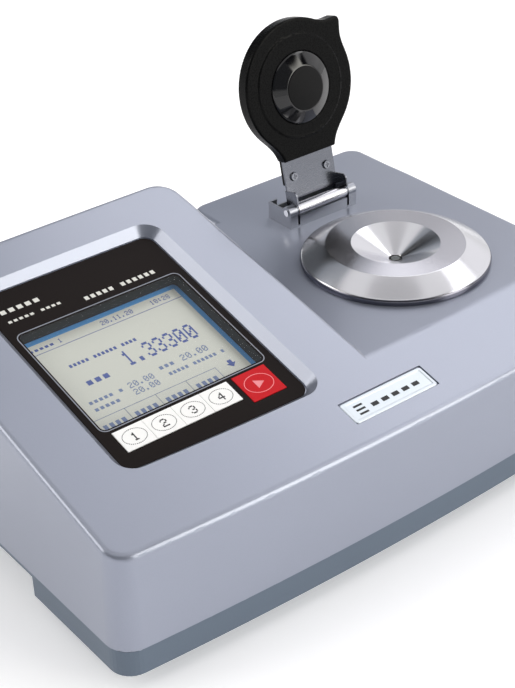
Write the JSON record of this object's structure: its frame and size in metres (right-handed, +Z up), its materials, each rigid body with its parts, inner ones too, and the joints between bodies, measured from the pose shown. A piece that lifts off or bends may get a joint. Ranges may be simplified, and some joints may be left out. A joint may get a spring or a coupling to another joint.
{
  "type": "bench refractometer",
  "caption": "Digital bench refractometer with a sloped display and keys, a sunken conical sample stage and a hinged black sample cover.",
  "frame": {"origin": "centre of the bounding box in plan, at the table under the feet", "axes": "+X to the operator's right, +Y to the back, +Z up; the display is at -X and the sample stage at +X"},
  "size_m": [0.37, 0.262, 0.2187],
  "materials": {
    "silver_paint": "satin metallic silver paint",
    "base_paint": "satin blue-grey paint",
    "black_rubber": "matt",
    "screw_steel": "zinc plated",
    "overlay_black": "smooth printed film",
    "clear_window": "clear",
    "black_plastic": "moulded black",
    "gloss_black": "polished black",
    "lcd_glass": "pale reflective display",
    "circuit_board": "green laminate",
    "spring_steel": "bright",
    "key_white": "printed film",
    "key_red": "printed film",
    "plate_aluminium": "brushed",
    "stainless": "turned and polished",
    "polished_steel": "polished",
    "optical_glass": "polished",
    "brass": "machined",
    "bronze": "plain",
    "white_ceramic": "matt",
    "led_resin": "amber resin"
  },
  "bodies": {
    "case": {"upper_housing": "silver_paint", "base_tray": "base_paint", "rubber_feet": "black_rubber", "foot_screws": "screw_steel", "case_screws": "screw_steel", "membrane_panel": "overlay_black", "lcd_window": "clear_window", "lcd_bezel": "black_plastic", "lcd_module": "lcd_glass", "key_board": "circuit_board", "key_domes": "spring_steel", "nameplate": "plate_aluminium", "stage_ring": "stainless", "sample_plate": "stainless", "prism_seal": "black_rubber", "prism": "optical_glass", "prism_holder": "brass", "stage_base": "plate_aluminium", "stage_screws": "screw_steel", "peltier_modules": "white_ceramic", "heat_sink": "plate_aluminium", "fan_frame": "black_plastic", "fan_screws": "screw_steel", "temperature_probe": "stainless", "optics_block": "black_plastic", "led_source": "led_resin", "collimator_lens": "optical_glass", "objective_lens": "optical_glass", "sensor_board": "circuit_board", "main_board": "circuit_board", "board_standoffs": "brass", "board_screws": "screw_steel", "power_supply": "circuit_board", "rear_panel": "plate_aluminium", "panel_screws": "screw_steel", "iec_inlet": "black_plastic", "switch_body": "black_plastic", "serial_port": "black_plastic", "printer_port": "black_plastic", "hinge_block": "polished_steel", "hinge_screws": "screw_steel", "hinge_barrel": "polished_steel", "hinge_pin": "polished_steel", "friction_washers": "bronze"},
    "cover": {"cover_disc": "black_plastic", "cover_dish": "gloss_black", "cover_pad": "black_plastic", "cover_bracket": "polished_steel", "bracket_screws": "screw_steel"},
    "key_1": {"key_1": "key_white"},
    "key_2": {"key_2": "key_white"},
    "key_3": {"key_3": "key_white"},
    "key_4": {"key_4": "key_white"},
    "key_start": {"key_start": "key_red"},
    "rocker": {"power_rocker": "black_plastic"},
    "fan": {"fan_rotor": "black_plastic"}
  },
  "joints": [
    {"name": "cover_hinge", "type": "hinge", "parent": "case", "child": "cover", "pos_m": [0.1009, 0.0653, 0.1068], "axis": [1, 0, 0], "range_deg": [-5, 102.5]},
    {"name": "key_1_press", "type": "slide", "parent": "case", "child": "key_1", "axis": [0, 0.2326, -0.9726], "range_m": [0, 0.0004], "stiffness_N_per_m": 1500, "springref_m": -0.0004},
    {"name": "key_2_press", "type": "slide", "parent": "case", "child": "key_2", "axis": [0, 0.2326, -0.9726], "range_m": [0, 0.0004], "stiffness_N_per_m": 1500, "springref_m": -0.0004},
    {"name": "key_3_press", "type": "slide", "parent": "case", "child": "key_3", "axis": [0, 0.2326, -0.9726], "range_m": [0, 0.0004], "stiffness_N_per_m": 1500, "springref_m": -0.0004},
    {"name": "key_4_press", "type": "slide", "parent": "case", "child": "key_4", "axis": [0, 0.2326, -0.9726], "range_m": [0, 0.0004], "stiffness_N_per_m": 1500, "springref_m": -0.0004},
    {"name": "key_start_press", "type": "slide", "parent": "case", "child": "key_start", "axis": [0, 0.2326, -0.9726], "range_m": [0, 0.0004], "stiffness_N_per_m": 1500, "springref_m": -0.0004},
    {"name": "rocker_tip", "type": "hinge", "parent": "case", "child": "rocker", "pos_m": [-0.094, 0.0989, 0.06], "axis": [1, 0, 0], "range_deg": [0, 16]},
    {"name": "fan_spin", "type": "hinge", "parent": "case", "child": "fan", "pos_m": [0.0978, -0.0081, 0.05], "axis": [0, 0, 1], "continuous": true}
  ]
}
